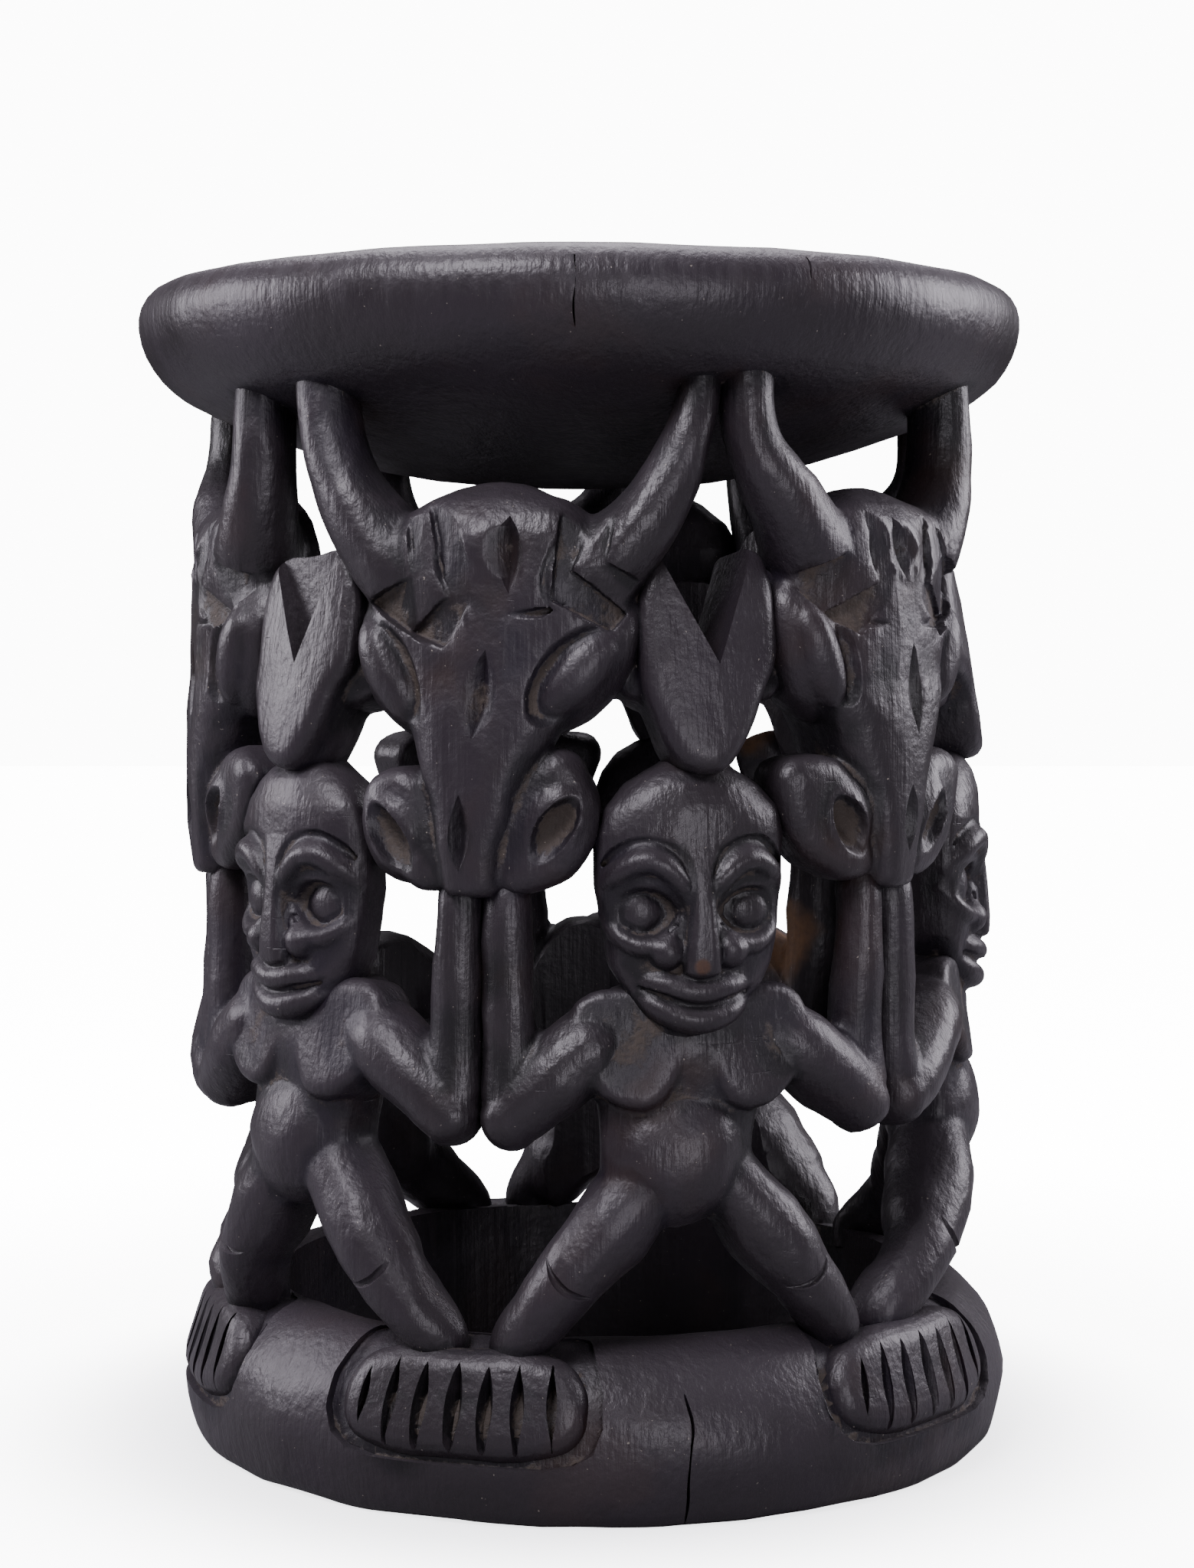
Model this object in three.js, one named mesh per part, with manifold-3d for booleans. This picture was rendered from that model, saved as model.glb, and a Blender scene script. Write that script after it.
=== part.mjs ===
// An openwork stool carved from one block of wood: five standing figures hold up five
// buffalo heads, whose horns carry a thick round seat. The figures stand on a base ring.
// Millimetres, +Z up, the floor at Z = 0 and the seat's middle on Z. The front faces -Y.
import * as THREE from "three";
import { mergeVertices } from "three/addons/utils/BufferGeometryUtils.js";
import Module from "manifold-3d";

// Driving dimensions. Angles are in degrees round the axis, from the front towards +X.
const HEIGHT = 450;
const SEAT_RADIUS = 173.5;
const DISH_RADIUS = 105; // the flat bottom of the seat's shallow dish
const DISH_DEPTH = 4;
const WALL_LEAN = 3; // the carved wall's axis, off the seat's middle along X
const BASE_LEAN = 6; // the base ring's axis, off the seat's middle along X
const BASE_RADIUS = 164;
const BASE_HEIGHT = 62;
const BASE_BORE = 124; // radius of the hole through the base ring
const WALL_RADIUS = 150; // the radius at which distances along the wall are measured
const HEAD_ANGLES = [-75, -13.5, 48, 131, 199]; // buffalo heads
const FIGURE_ANGLES = [-47, 15, 87, 165, 242]; // figure K stands between heads K and K + 1
const HAND_ANGLES = [-77, -14.7, 47.3, 129, 197]; // where neighbours' hands meet, under heads
const FOOT_ANGLES = [-71, -16, 45.3, 129, 197]; // where neighbours' feet meet
const TOE_ANGLES = [-75, -18, 50.5, 128, 197]; // the middles of the blocks of toes
const HORN_TIPS = [[-51, 66], [-71, 78], [-66, 51], [-66, 51], [-51, 66]]; // along, per head
const KNEES_OUT = [[144, 144], [144, 144], [148, 148], [146, 146], [146, 128]]; // per figure
const BACK = 3; // the figure whose web is left as a high slab
const COUNT = HEAD_ANGLES.length;

const ROUND_SIDES = 32; // sides of the seat and of the base ring
const LIMB_SIDES = 5; // sides of arms, legs and horns
const LEVEL_SIDES = 8; // sides of heads, bodies and foot blocks

const wasm = await Module();
wasm.setup();

// A closed three.js geometry as a solid, placed by a matrix.
function solid(geometry, matrix = new THREE.Matrix4()) {
  const bare = geometry.clone();
  bare.deleteAttribute("normal");
  bare.deleteAttribute("uv");
  bare.applyMatrix4(matrix);
  const merged = mergeVertices(bare, 1e-4);
  const mesh = new wasm.Mesh({
    numProp: 3,
    vertProperties: merged.attributes.position.array,
    triVerts: new Uint32Array(merged.index.array),
  });
  return new wasm.Manifold(mesh);
}

function join(solids) {
  return solids.reduce((whole, piece) => whole.add(piece));
}

// The angle that lies `along` millimetres round the wall from `angle`.
function beside(angle, along) {
  return angle + THREE.MathUtils.radToDeg(along / WALL_RADIUS);
}

// A point of the carved wall, by its angle, its distance from the wall's axis and height.
function at(angle, radius, height) {
  const turn = THREE.MathUtils.degToRad(angle);
  return new THREE.Vector3(
    WALL_LEAN + radius * Math.sin(turn),
    -radius * Math.cos(turn),
    height,
  );
}

// Wraps a shape round the stool: its X runs round the wall, its -Y outwards and its Z up.
// `roll` leans its top towards growing angles, in degrees.
function wrapped(geometry, angle, radius, height, roll = 0) {
  const shape = geometry.clone().rotateY(THREE.MathUtils.degToRad(roll));
  const spots = shape.attributes.position;
  for (let k = 0; k < spots.count; k++) {
    const spot = at(
      beside(angle, spots.getX(k)),
      radius - spots.getY(k),
      height + spots.getZ(k),
    );
    spots.setXYZ(k, spot.x, spot.y, spot.z);
  }
  return solid(shape);
}

// A small rounded lump; halves are half its width, its depth and its height.
function pebble(angle, radius, height, halves, roll = 0) {
  const ball = new THREE.SphereGeometry(1, 6, 3).scale(...halves);
  return wrapped(ball, angle, radius, height, roll);
}

// A leaf-shaped chisel mark, or with full halves a sharp-edged form such as lips.
function leaf(angle, radius, height, halves, roll = 0) {
  return wrapped(new THREE.OctahedronGeometry(1).scale(...halves), angle, radius, height, roll);
}

// A form built up in oval levels, from the lowest: [height, half across, half deep, radius,
// shift across]. The radius is where the oval's middle lies.
function levels(angle, rows) {
  const steps = rows.length - 1;
  const stack = new THREE.CylinderGeometry(1, 1, 1, LEVEL_SIDES, steps).rotateX(Math.PI / 2);
  const spots = stack.attributes.position;
  for (let k = 0; k < spots.count; k++) {
    const row = rows[Math.round((spots.getZ(k) + 0.5) * steps)];
    const [height, across, deep, radius, shift = 0] = row;
    const x = shift + across * spots.getX(k);
    const y = deep * spots.getY(k);
    const spot = at(beside(angle, x), radius - y, height);
    spots.setXYZ(k, spot.x, spot.y, spot.z);
  }
  return solid(stack);
}

// A straight limb with blunt ends, `thickStart` and `thickEnd` in radius.
function limb(start, end, thickStart, thickEnd) {
  const length = start.distanceTo(end);
  const blunt = 0.6;
  const profile = [
    [0, -blunt * thickStart],
    [thickStart, 0],
    [thickEnd, length],
    [0, length + blunt * thickEnd],
  ].map(([x, y]) => new THREE.Vector2(x, y));
  const shape = new THREE.LatheGeometry(profile, LIMB_SIDES);
  const along = end.clone().sub(start).normalize();
  const turn = new THREE.Quaternion().setFromUnitVectors(new THREE.Vector3(0, 1, 0), along);
  return solid(shape, new THREE.Matrix4().makeRotationFromQuaternion(turn).setPosition(start));
}

// A curved limb through the points; `thick` is its radius at even steps along it.
function curvedLimb(points, thick) {
  const steps = thick.length - 1;
  const path = new THREE.CatmullRomCurve3(points);
  const frames = path.computeFrenetFrames(steps);
  const tube = new THREE.CylinderGeometry(1, 1, 1, LIMB_SIDES, steps);
  const spots = tube.attributes.position;
  for (let k = 0; k < spots.count; k++) {
    const step = Math.round((spots.getY(k) + 0.5) * steps);
    const spot = path
      .getPointAt(step / steps)
      .addScaledVector(frames.normals[step], thick[step] * spots.getX(k))
      .addScaledVector(frames.binormals[step], -thick[step] * spots.getZ(k));
    spots.setXYZ(k, spot.x, spot.y, spot.z);
  }
  return solid(tube);
}

// A closed or axis-bound profile of [radius, height] turned round the axis.
function turned(profile, shift = 0) {
  const outline = profile.map(([x, y]) => new THREE.Vector2(x, y));
  const band = new THREE.LatheGeometry(outline, ROUND_SIDES).rotateX(Math.PI / 2);
  return solid(band.translate(shift, 0, 0));
}

// The seat: a thick disc with a full rounded edge, a dished top and a rough dome under it.
function seat() {
  return turned([
    [0, 374],
    [70, 379],
    [150, 401],
    [167, 415],
    [SEAT_RADIUS, 434],
    [166, 446],
    [148, HEIGHT],
    [DISH_RADIUS, HEIGHT - DISH_DEPTH],
    [0, HEIGHT - DISH_DEPTH],
  ]);
}

// The base ring: a fat band with a bulging side and a narrow ledge inside its crest.
function baseRing() {
  return turned(
    [
      [BASE_BORE, 0],
      [158, 0],
      [BASE_RADIUS, 22],
      [160, 43],
      [146, 59],
      [134, BASE_HEIGHT],
      [BASE_BORE + 2, BASE_HEIGHT - 1],
      [BASE_BORE, 0],
    ],
    BASE_LEAN,
  );
}

// One block of feet on the ring under a head: eight toes between seven leaf-shaped cuts.
function feet(middle) {
  const half = 48;
  const toes = 8;
  const block = levels(middle, [
    [24, half * 0.85, 12, 152],
    [32, half, 19, 149],
    [48, half * 0.97, 19, 145],
    [61, half * 0.7, 9, 143],
  ]);
  const cuts = [];
  for (let k = 1; k < toes; k++) {
    const along = ((2 * k) / toes - 1) * half * 0.9;
    const reach = 168 - 14 * (along / half) ** 2;
    cuts.push(leaf(beside(middle, along), reach, 40, [3, 8, 14]));
  }
  return block.subtract(join(cuts));
}

// A buffalo's head: domed brow, big slanting eyes, long muzzle, leaf-shaped ears, horns.
function buffaloHead(angle, tips) {
  const by = (along) => beside(angle, along);
  const skull = levels(angle, [
    [222, 13, 12, 147, -6],
    [240, 20, 17, 145, -6],
    [282, 33, 22, 138, -1],
    [299, 59, 22, 135],
    [318, 52, 25, 134],
    [344, 44, 25, 133],
    [360, 31, 17, 132],
    [368, 14, 8, 131],
  ]);
  const halves = [-1, 1].flatMap((side) => [
    curvedLimb(
      [
        at(by(side * 22), 142, 330),
        at(by(side * 44), 146, 348),
        at(by(side * 13 + 0.72 * tips[(side + 1) / 2]), 146, 374),
        at(by(tips[(side + 1) / 2]), 145, 408),
      ],
      [19, 19, 14.5, 13],
    ),
    pebble(by(side * 38), 149, 302, [11.5, 9, 25], side * 42),
    pebble(by(side * 30 - 7), 146, 247, [21, 13, 25], side * 14).subtract(
      leaf(by(side * 32 - 7), 159, 244, [4, 7, 16], side * 40),
    ),
  ]);
  const cuts = [
    leaf(by(9), 157, 345, [4.5, 6, 17]),
    leaf(by(2), 159, 294, [4, 6, 17]),
    leaf(by(-5), 163, 244, [4, 6, 15]),
  ];
  return join([skull, ...halves]).subtract(join(cuts));
}

// A figure's head: almond eyes sunk under the brow, a straight nose and full lips.
function face(angle) {
  const by = (along) => beside(angle, along);
  const skull = levels(angle, [
    [172, 12, 9, 143],
    [188, 24, 17, 138],
    [210, 31, 19, 138],
    [250, 33, 20, 137],
    [273, 13, 11, 136],
  ]);
  const features = [-1, 1].map((way) => {
    const socket = leaf(by(way * 18), 159, 220, [20, 15, 15], way * 12);
    return { socket, eye: pebble(by(way * 17), 147, 219, [7.5, 8, 7.5]) };
  });
  const sunk = features.reduce((whole, { socket }) => whole.subtract(socket), skull);
  const lips = leaf(angle, 149, 187, [18, 11, 10]);
  const wedge = new THREE.ConeGeometry(11, 34, 4).rotateX(Math.PI / 2);
  const nose = wrapped(wedge, angle, 150, 217);
  const mouth = leaf(angle, 159, 187, [15, 6, 1.6]);
  return join([sunk, ...features.map(({ eye }) => eye), lips, nose]).subtract(mouth);
}

// A figure with raised arms that holds up the heads on both sides, feet on the ring. The
// wider it has to stride, the higher its knees.
function figure(angle, left, right, kneesOut) {
  const by = (along) => beside(angle, along);
  const body = levels(angle, [
    [99, 9, 9, 141, -2],
    [112, 27, 19, 138, -3],
    [127, 34, 23, 135, -3],
    [143, 33, 19, 134, -3],
    [162, 41, 21, 134, -1],
    [186, 38, 13, 133],
  ]);
  const limbs = [
    { way: -1, meet: left },
    { way: 1, meet: right },
  ].flatMap(({ way, meet }) => {
    const stride = Math.abs(meet.feet - angle) - 30;
    const elbow = at(by(way * 69), 146, 144);
    const hand = at(meet.hands - way * 3.5, 146, 232);
    const knee = at(by(way * 38), kneesOut[(way + 1) / 2], 94 + 1.2 * stride);
    return [
      limb(at(by(way * 33), 138, 174), elbow, 16.5, 13),
      limb(elbow, hand, 11.5, 10),
      curvedLimb(
        [at(by(way * 14), 138, 121), knee, at(meet.feet - way * 5.5, 145, 54)],
        [17, 16, 10],
      ),
    ];
  });
  return join([face(angle), body, ...limbs]);
}

// The V of wood over a figure's crown, which ties the cheeks of the heads beside it. Its
// notch goes right through, or where `whole` is set it is only sunk into the front.
function web(angle, leftHead, rightHead, whole) {
  const perDegree = THREE.MathUtils.degToRad(1) * WALL_RADIUS;
  const cheek = 50;
  const left = (leftHead - angle) * perDegree + cheek;
  const right = (rightHead - angle) * perDegree - cheek;
  const tip = -32;
  const notch = 6;
  const top = 40;
  const half = 7;
  const reach = 156;
  const thick = 30;
  const outline = new THREE.Shape([
    new THREE.Vector2(-half, tip),
    new THREE.Vector2(half, tip),
    new THREE.Vector2(half + 0.6 * (right + half), notch),
    new THREE.Vector2(right + 12, top - 8),
    new THREE.Vector2(right - 8, top),
    new THREE.Vector2(0, whole ? top : notch),
    new THREE.Vector2(left + 8, top),
    new THREE.Vector2(left - 12, top - 8),
    new THREE.Vector2(-half + 0.6 * (left - half), notch),
  ]);
  const board = new THREE.ExtrudeGeometry(outline, { depth: thick, bevelEnabled: false });
  const plate = wrapped(board.rotateX(Math.PI / 2), angle, reach - thick, 300);
  return whole ? plate.subtract(leaf(angle, reach, 348, [18, 12, 50])) : plate;
}

// The rounded slab that fills the wall between the rear heads' horns.
function slab(angle) {
  return levels(angle, [
    [305, 22, 13, 135],
    [325, 38, 15, 134],
    [352, 41, 16, 134],
    [370, 28, 13, 134],
    [379, 12, 8, 134],
  ]);
}

// Head K and where the hands and feet under it meet; K = COUNT is head 0, one turn on.
function meeting(k) {
  const place = k % COUNT;
  const turn = k < COUNT ? 0 : 360;
  return {
    head: HEAD_ANGLES[place] + turn,
    hands: HAND_ANGLES[place] + turn,
    feet: FOOT_ANGLES[place] + turn,
  };
}

function carvedStool() {
  const pieces = [seat(), baseRing()];
  for (let k = 0; k < COUNT; k++) {
    const left = meeting(k);
    const right = meeting(k + 1);
    const angle = FIGURE_ANGLES[k];
    pieces.push(
      buffaloHead(left.head, HORN_TIPS[k]),
      feet(TOE_ANGLES[k]),
      figure(angle, left, right, KNEES_OUT[k]),
      web(angle + 2, left.head, right.head, k === 0 || k === BACK),
    );
  }
  pieces.push(slab(FIGURE_ANGLES[BACK] + 2));
  return join(pieces);
}

// The solid's surface as a three.js geometry.
function surface(piece) {
  const mesh = piece.getMesh();
  const geometry = new THREE.BufferGeometry();
  geometry.setAttribute("position", new THREE.BufferAttribute(mesh.vertProperties, 3));
  geometry.setIndex(new THREE.BufferAttribute(mesh.triVerts, 1));
  return geometry;
}

const darkWood = new THREE.MeshStandardMaterial({
  color: 0x2a2224,
  roughness: 0.42,
  metalness: 0,
});

const stool = new THREE.Group();
const carving = new THREE.Mesh(surface(carvedStool()), darkWood);
carving.name = "carved_stool";
stool.add(carving);

export default stool;
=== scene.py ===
import math

import bpy
import numpy as np
from mathutils import Matrix, Vector, noise


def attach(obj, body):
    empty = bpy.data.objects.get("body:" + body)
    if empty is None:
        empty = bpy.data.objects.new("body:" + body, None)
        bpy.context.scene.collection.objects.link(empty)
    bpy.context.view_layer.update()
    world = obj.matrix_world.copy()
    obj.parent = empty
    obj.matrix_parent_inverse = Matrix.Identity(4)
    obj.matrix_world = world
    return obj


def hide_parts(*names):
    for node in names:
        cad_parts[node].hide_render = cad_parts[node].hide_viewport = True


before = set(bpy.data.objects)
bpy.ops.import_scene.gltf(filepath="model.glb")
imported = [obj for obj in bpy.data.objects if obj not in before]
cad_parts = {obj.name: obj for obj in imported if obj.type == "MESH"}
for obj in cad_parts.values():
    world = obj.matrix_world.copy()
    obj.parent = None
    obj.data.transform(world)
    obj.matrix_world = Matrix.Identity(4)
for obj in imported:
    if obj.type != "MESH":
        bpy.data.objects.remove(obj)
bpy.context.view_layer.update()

# An openwork stool carved from one block of dark stained wood: five figures with raised arms
# hold up five buffalo heads, whose horns carry a thick round seat.
#
# Sizes are millimetres, angles are degrees round the wall of carving, from the front (-Y)
# towards +X. The wall is carved flat, as on a plank, and then bent round: along the plank is
# X, into it is +Y, up is Z. A place on the plank is (along, out, height), where out is the
# distance from the wall's axis once it is bent.
MM = 0.001

SEAT_RADIUS = 173.5
HEIGHT = 450
WALL_LEAN = 3
BASE_LEAN = 6
WALL_RADIUS = 150
BORE_RADIUS = 118.5  # of the hollow inside the wall
HEAD_ANGLES = [-75, -13.5, 48, 131, 199]
FIGURE_ANGLES = [-47, 15, 87, 165, 242]
HAND_ANGLES = [-77, -14.7, 47.3, 129, 197]
FOOT_ANGLES = [-71, -16, 45.3, 129, 197]
TOE_ANGLES = [-75, -18, 50.5, 128, 197]
COUNT = len(HEAD_ANGLES)
BULKS = [1, 1, 1, 1.5, 1.25]  # of the figures' limbs
TUCKS = [0, 0, 0, 0, 14]  # how far their right knees are drawn in
BACK = 3  # the figure whose web is left as a high slab
HAND_GAP = 3.2  # degrees from where two hands meet to the middle of each
FOOT_GAP = 6  # degrees from where two feet meet to the middle of each
CHEEK = 52  # from a head's middle to its cheek, along the plank
WEB_TURN = 2  # degrees that the webs stand past the figures
SET_BACK = 2.5  # of the faces behind the heads over them
HOLLOW_LEVELS = (63, 371)  # floor and top of the bore inside the wall
PER_DEGREE = math.radians(1) * WALL_RADIUS

ROUGH_GRAIN = 1.3  # voxel that joins the rough forms
FINE_GRAIN = 0.75  # voxel that joins the fine forms
FACE_GRAIN = 0.7  # voxel of a face's skin
FRONT_FACES = 16000  # triangles of a head or a figure that is seen from the front
REAR_FACES = 9000  # triangles of one that is seen through the gaps
WEB_FACES = 2600
TOE_FACES = 3400
SIDES = 160  # of the seat and the ring
SCOOP_SHARE = 0.72  # of the distance between the tool's marks that a scoop takes up
SHARP_EDGE = 38  # degrees past which an edge of the mesh shows as an edge
SCORE_END = 0.35  # half the width of a score at its ends
CRACK_END = 0.25  # half the width of a crack where it dies out
CRACK_DEPTH = 7  # how many times deeper a crack is than it is wide


# Moving and choosing

def choose(*pieces):
    bpy.ops.object.select_all(action="DESELECT")
    for piece in pieces:
        piece.select_set(True)
    bpy.context.view_layer.objects.active = pieces[-1]


def on_plank(along, out, height):
    return Vector((along, WALL_RADIUS - out, height)) * MM


def settle(piece):
    """Puts a piece's place, turn and size into its mesh."""
    choose(piece)
    bpy.ops.object.transform_apply(location=True, rotation=True, scale=True)
    return piece


def copy_of(piece):
    twin = piece.copy()
    twin.data = piece.data.copy()
    bpy.context.collection.objects.link(twin)
    return twin


def joined(pieces):
    choose(*pieces)
    if len(pieces) > 1:
        bpy.ops.object.join()
    return bpy.context.object


# Modifiers

def apply(piece, kind, **settings):
    choose(piece)
    step = piece.modifiers.new(kind, kind)
    for name, value in settings.items():
        setattr(step, name, value)
    bpy.ops.object.modifier_apply(modifier=step.name)
    return piece


def fused(pieces, grain, softening):
    """Joins forms into one skin, its creases softened."""
    block = joined(pieces)
    apply(block, "REMESH", mode="VOXEL", voxel_size=grain * MM)
    if softening:
        apply(block, "SMOOTH", factor=0.5, iterations=softening)
    return block


def cut(block, tool):
    apply(block, "BOOLEAN", operation="DIFFERENCE", solver="MANIFOLD", object=tool)
    bpy.data.objects.remove(tool)
    return block


def add(block, piece):
    apply(block, "BOOLEAN", operation="UNION", solver="MANIFOLD", object=piece)
    bpy.data.objects.remove(piece)
    return block


def mended(piece):
    """Closes the few places where thinning left the skin torn or doubled."""
    bpy.ops.object.mode_set(mode="EDIT")
    bpy.ops.mesh.select_mode(type="VERT")
    for _ in range(8):
        bpy.ops.mesh.select_all(action="DESELECT")
        bpy.ops.mesh.select_non_manifold()
        if not piece.data.count_selected_items()[0]:
            break
        bpy.ops.mesh.delete(type="VERT")
        bpy.ops.mesh.select_non_manifold()
        bpy.ops.mesh.fill_holes(sides=0)
        bpy.ops.mesh.quads_convert_to_tris()
    bpy.ops.mesh.select_all(action="SELECT")
    bpy.ops.mesh.normals_make_consistent(inside=False)
    bpy.ops.object.mode_set(mode="OBJECT")
    return piece


def thinned(piece, faces):
    choose(piece)
    bpy.ops.object.mode_set(mode="EDIT")
    bpy.ops.mesh.select_all(action="SELECT")
    bpy.ops.mesh.quads_convert_to_tris()
    bpy.ops.object.mode_set(mode="OBJECT")
    count = len(piece.data.polygons)
    if count > faces:
        apply(piece, "DECIMATE", ratio=faces / count)
    return mended(piece)


def corners_of(piece):
    """Where each corner of the mesh is, and which way it faces."""
    both = []
    for name in ("co", "normal"):
        values = np.empty(len(piece.data.vertices) * 3)
        piece.data.vertices.foreach_get(name, values)
        both.append(values.reshape(-1, 3))
    return both


def planed(piece, size, depth, long=1.7):
    """Leaves the tool's marks: shallow scoops side by side, longer up the plank, which turn
    round forms into soft facets. Nothing is added."""
    places, normals = corners_of(piece)
    spots = places / (np.array((1, 1, long)) * size * MM)
    near = np.array([noise.voronoi(spot)[0][0] for spot in spots.tolist()])
    scoop = np.maximum(1 - (near / SCOOP_SHARE) ** 2, 0) * depth * MM
    piece.data.vertices.foreach_set("co", (places - normals * scoop[:, None]).ravel())
    piece.data.update()
    return piece


# Forms on the plank

def stack(rows, corner=0.75):
    """A form built up in levels, each a rounded oblong: (height, half along, half deep,
    along, out)."""
    bpy.ops.mesh.primitive_plane_add(size=2)
    form = bpy.context.object
    bpy.ops.object.mode_set(mode="EDIT")
    bpy.ops.mesh.select_all(action="SELECT")
    bpy.ops.mesh.bevel(offset=corner, offset_type="OFFSET", segments=5, affect="VERTICES")
    was = (1 / MM, 1 / MM)
    middle = Vector((0, 0, 0))
    for k, (height, across, deep, along, out) in enumerate(rows):
        spot = on_plank(along, out, height)
        step = spot - middle
        bpy.ops.mesh.select_all(action="DESELECT")
        bpy.ops.object.mode_set(mode="OBJECT")
        top = max(form.data.polygons, key=lambda face: (abs(face.normal.z) > 0.99, face.center.z))
        top.select = True
        bpy.ops.object.mode_set(mode="EDIT")
        bpy.ops.mesh.select_mode(type="FACE")
        if k:
            bpy.ops.mesh.extrude_region_move(TRANSFORM_OT_translate={"value": step})
        else:
            bpy.ops.transform.translate(value=step)
        bpy.ops.transform.resize(
            value=(across / was[0], deep / was[1], 1), center_override=spot
        )
        was = (across, deep)
        middle = spot
    bpy.ops.mesh.select_all(action="SELECT")
    bpy.ops.mesh.normals_make_consistent(inside=False)
    bpy.ops.object.mode_set(mode="OBJECT")
    return form


def ball(along, out, height, halves, lean=0):
    """A rounded lump, its halves along, into and up the plank; lean tips its top along."""
    bpy.ops.mesh.primitive_uv_sphere_add(
        segments=32,
        ring_count=20,
        radius=MM,
        location=on_plank(along, out, height),
        rotation=(0, math.radians(lean), 0),
    )
    lump = bpy.context.object
    lump.scale = halves
    return settle(lump)


def spindle(sides):
    """A pointed form one unit high each way from its middle, its sides bowed out."""
    steps = 10
    bpy.ops.mesh.primitive_circle_add(vertices=sides, radius=1, fill_type="NGON")
    form = bpy.context.object
    bpy.ops.object.mode_set(mode="EDIT")
    bpy.ops.mesh.select_mode(type="FACE")
    bpy.ops.mesh.select_all(action="SELECT")
    last = 1
    for k in range(steps + 1):
        height = 2 * k / steps - 1
        width = max(1 - height * height, 0.02)
        if k:
            bpy.ops.mesh.extrude_region_move(TRANSFORM_OT_translate={"value": (0, 0, 2 / steps)})
        else:
            bpy.ops.transform.translate(value=(0, 0, -1))
        bpy.ops.transform.resize(
            value=(width / last, width / last, 1), center_override=(0, 0, height)
        )
        last = width
    bpy.ops.mesh.select_all(action="SELECT")
    bpy.ops.mesh.normals_make_consistent(inside=False)
    bpy.ops.object.mode_set(mode="OBJECT")
    form.hide_render = True
    return form


chisel = spindle(4)
almond = spindle(24)


def mark(along, out, height, halves, lean, shape=chisel):
    """A leaf-shaped mark: a chisel's V cut, or an almond. Lean tips its top along."""
    leaf = copy_of(shape)
    leaf.hide_render = False
    leaf.data.transform(
        Matrix.Translation(on_plank(along, out, height))
        @ Matrix.Rotation(math.radians(lean), 4, "Y")
        @ Matrix.Diagonal((*(half * MM for half in halves), 1))
    )
    return leaf


def limb(points, deep=1.0):
    """A round limb through points (along, out, height, thickness in radius)."""
    middle = sum(WALL_RADIUS - out for _, out, _, _ in points) / len(points) * MM
    bpy.ops.curve.primitive_bezier_curve_add()
    path = bpy.context.object
    shape = path.data
    shape.dimensions = "3D"
    shape.fill_mode = "FULL"
    shape.bevel_depth = MM
    shape.bevel_resolution = 6
    shape.resolution_u = 8
    shape.use_fill_caps = True
    line = shape.splines[0]
    line.bezier_points.add(len(points) - 2)
    for knot, (along, out, height, thick) in zip(line.bezier_points, points):
        spot = on_plank(along, out, height)
        spot.y = middle + (spot.y - middle) / deep
        knot.handle_left_type = "AUTO"
        knot.handle_right_type = "AUTO"
        knot.co = spot
        knot.radius = thick
    path.location = (0, 0, 0)
    choose(path)
    bpy.ops.object.convert(target="MESH")
    form = bpy.context.object
    bpy.ops.object.mode_set(mode="EDIT")
    bpy.ops.mesh.select_all(action="SELECT")
    bpy.ops.mesh.remove_doubles(threshold=1e-6)
    bpy.ops.mesh.normals_make_consistent(inside=False)
    bpy.ops.transform.resize(value=(1, deep, 1), center_override=(0, middle, 0))
    bpy.ops.object.mode_set(mode="OBJECT")
    return form


def plate(outline, back, front, rounding):
    """A flat form with a rounded edge, its outline (along, height) in turn."""
    bpy.ops.curve.primitive_bezier_circle_add()
    path = bpy.context.object
    shape = path.data
    shape.dimensions = "2D"
    shape.fill_mode = "BOTH"
    shape.extrude = ((front - back) / 2 - rounding) * MM
    shape.bevel_depth = rounding * MM
    shape.offset = -rounding * MM
    shape.bevel_resolution = 3
    shape.resolution_u = 4
    line = shape.splines[0]
    line.bezier_points.add(len(outline) - len(line.bezier_points))
    for knot, (along, height) in zip(line.bezier_points, outline):
        knot.handle_left_type = "AUTO"
        knot.handle_right_type = "AUTO"
        knot.co = Vector((along, height, 0)) * MM
    choose(path)
    bpy.ops.object.convert(target="MESH")
    form = bpy.context.object
    form.data.transform(
        Matrix.Translation(on_plank(0, (front + back) / 2, 0))
        @ Matrix.Rotation(math.radians(90), 4, "X")
    )
    bpy.ops.object.mode_set(mode="EDIT")
    bpy.ops.mesh.select_all(action="SELECT")
    bpy.ops.mesh.remove_doubles(threshold=1e-6)
    bpy.ops.mesh.normals_make_consistent(inside=False)
    bpy.ops.object.mode_set(mode="OBJECT")
    return form


def tilted(form, out, height, degrees):
    """Tips the top of a form into the wall, about a line along the plank."""
    pivot = Matrix.Translation(on_plank(0, out, height))
    form.data.transform(pivot @ Matrix.Rotation(-math.radians(degrees), 4, "X") @ pivot.inverted())
    return form


def lofted(sections):
    """A solid through sections of four corners each."""
    bpy.ops.mesh.primitive_circle_add(vertices=4, radius=1, fill_type="NGON")
    form = bpy.context.object
    bpy.ops.object.mode_set(mode="EDIT")
    bpy.ops.mesh.select_mode(type="FACE")
    bpy.ops.mesh.select_all(action="SELECT")
    for _ in sections[1:]:
        bpy.ops.mesh.extrude_region_move(TRANSFORM_OT_translate={"value": (0, 0, 1)})
    bpy.ops.object.mode_set(mode="OBJECT")
    for corner in form.data.vertices:
        quarter = round(math.atan2(corner.co.y, corner.co.x) / math.radians(90)) % 4
        corner.co = sections[round(corner.co.z)][quarter]
    bpy.ops.object.mode_set(mode="EDIT")
    bpy.ops.mesh.select_all(action="SELECT")
    bpy.ops.mesh.quads_convert_to_tris()
    bpy.ops.mesh.normals_make_consistent(inside=False)
    bpy.ops.object.mode_set(mode="OBJECT")
    return form


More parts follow.
